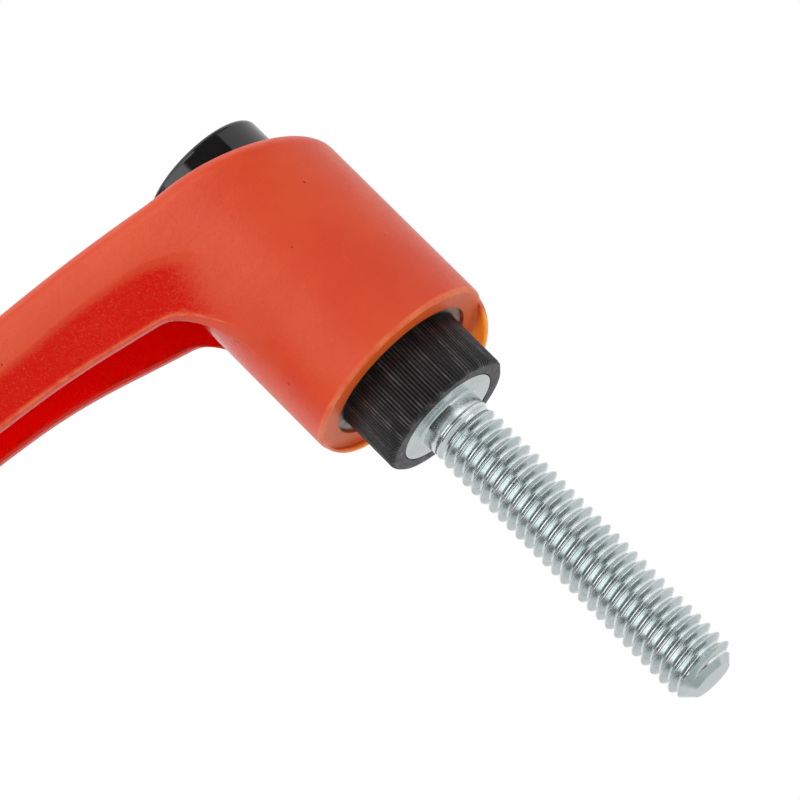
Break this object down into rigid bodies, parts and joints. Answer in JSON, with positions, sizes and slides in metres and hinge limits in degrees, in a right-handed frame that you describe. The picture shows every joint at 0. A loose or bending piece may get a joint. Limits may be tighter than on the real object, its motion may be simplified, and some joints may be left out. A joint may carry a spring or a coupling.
{
  "type": "adjustable clamping lever",
  "caption": "Adjustable clamping lever with a sloped, hollow-backed plastic arm, a push button, a serrated metal sleeve and a threaded stud.",
  "frame": {"origin": "on the stud's axis at the clamping face, where the stud leaves the boss", "axes": "+Z along the stud's axis towards the button, +X along the lever's arm"},
  "size_m": [0.072, 0.017, 0.0664],
  "materials": {
    "orange_plastic": "orange glass-filled plastic, satin, finely grained",
    "cast_zinc": "die-cast zinc, dull grey",
    "blackened_steel": "black oxide on steel, dull with a faint sheen",
    "plated_steel": "bright zinc plating",
    "screw_steel": "plain steel",
    "spring_steel": "bright drawn spring wire",
    "seat_steel": "plain stamped steel",
    "black_plastic": "smooth glossy black plastic"
  },
  "bodies": {
    "root": {"threaded_stud": "plated_steel", "serrated_sleeve": "blackened_steel", "retaining_screw": "screw_steel", "return_spring": "spring_steel", "push_button": "black_plastic"},
    "seat": {"spring_seat": "seat_steel"},
    "lever": {"lever": "orange_plastic", "toothed_ring": "cast_zinc"}
  },
  "joints": [
    {"name": "lift", "type": "slide", "parent": "root", "child": "seat", "axis": [0, 0, 1], "range_m": [0, 0.004], "stiffness_N_per_m": 1500, "springref_m": -0.004, "deforming": ["return_spring"]},
    {"name": "turn", "type": "hinge", "parent": "seat", "child": "lever", "pos_m": [0, 0, 0.0109], "axis": [0, 0, 1], "continuous": true}
  ]
}
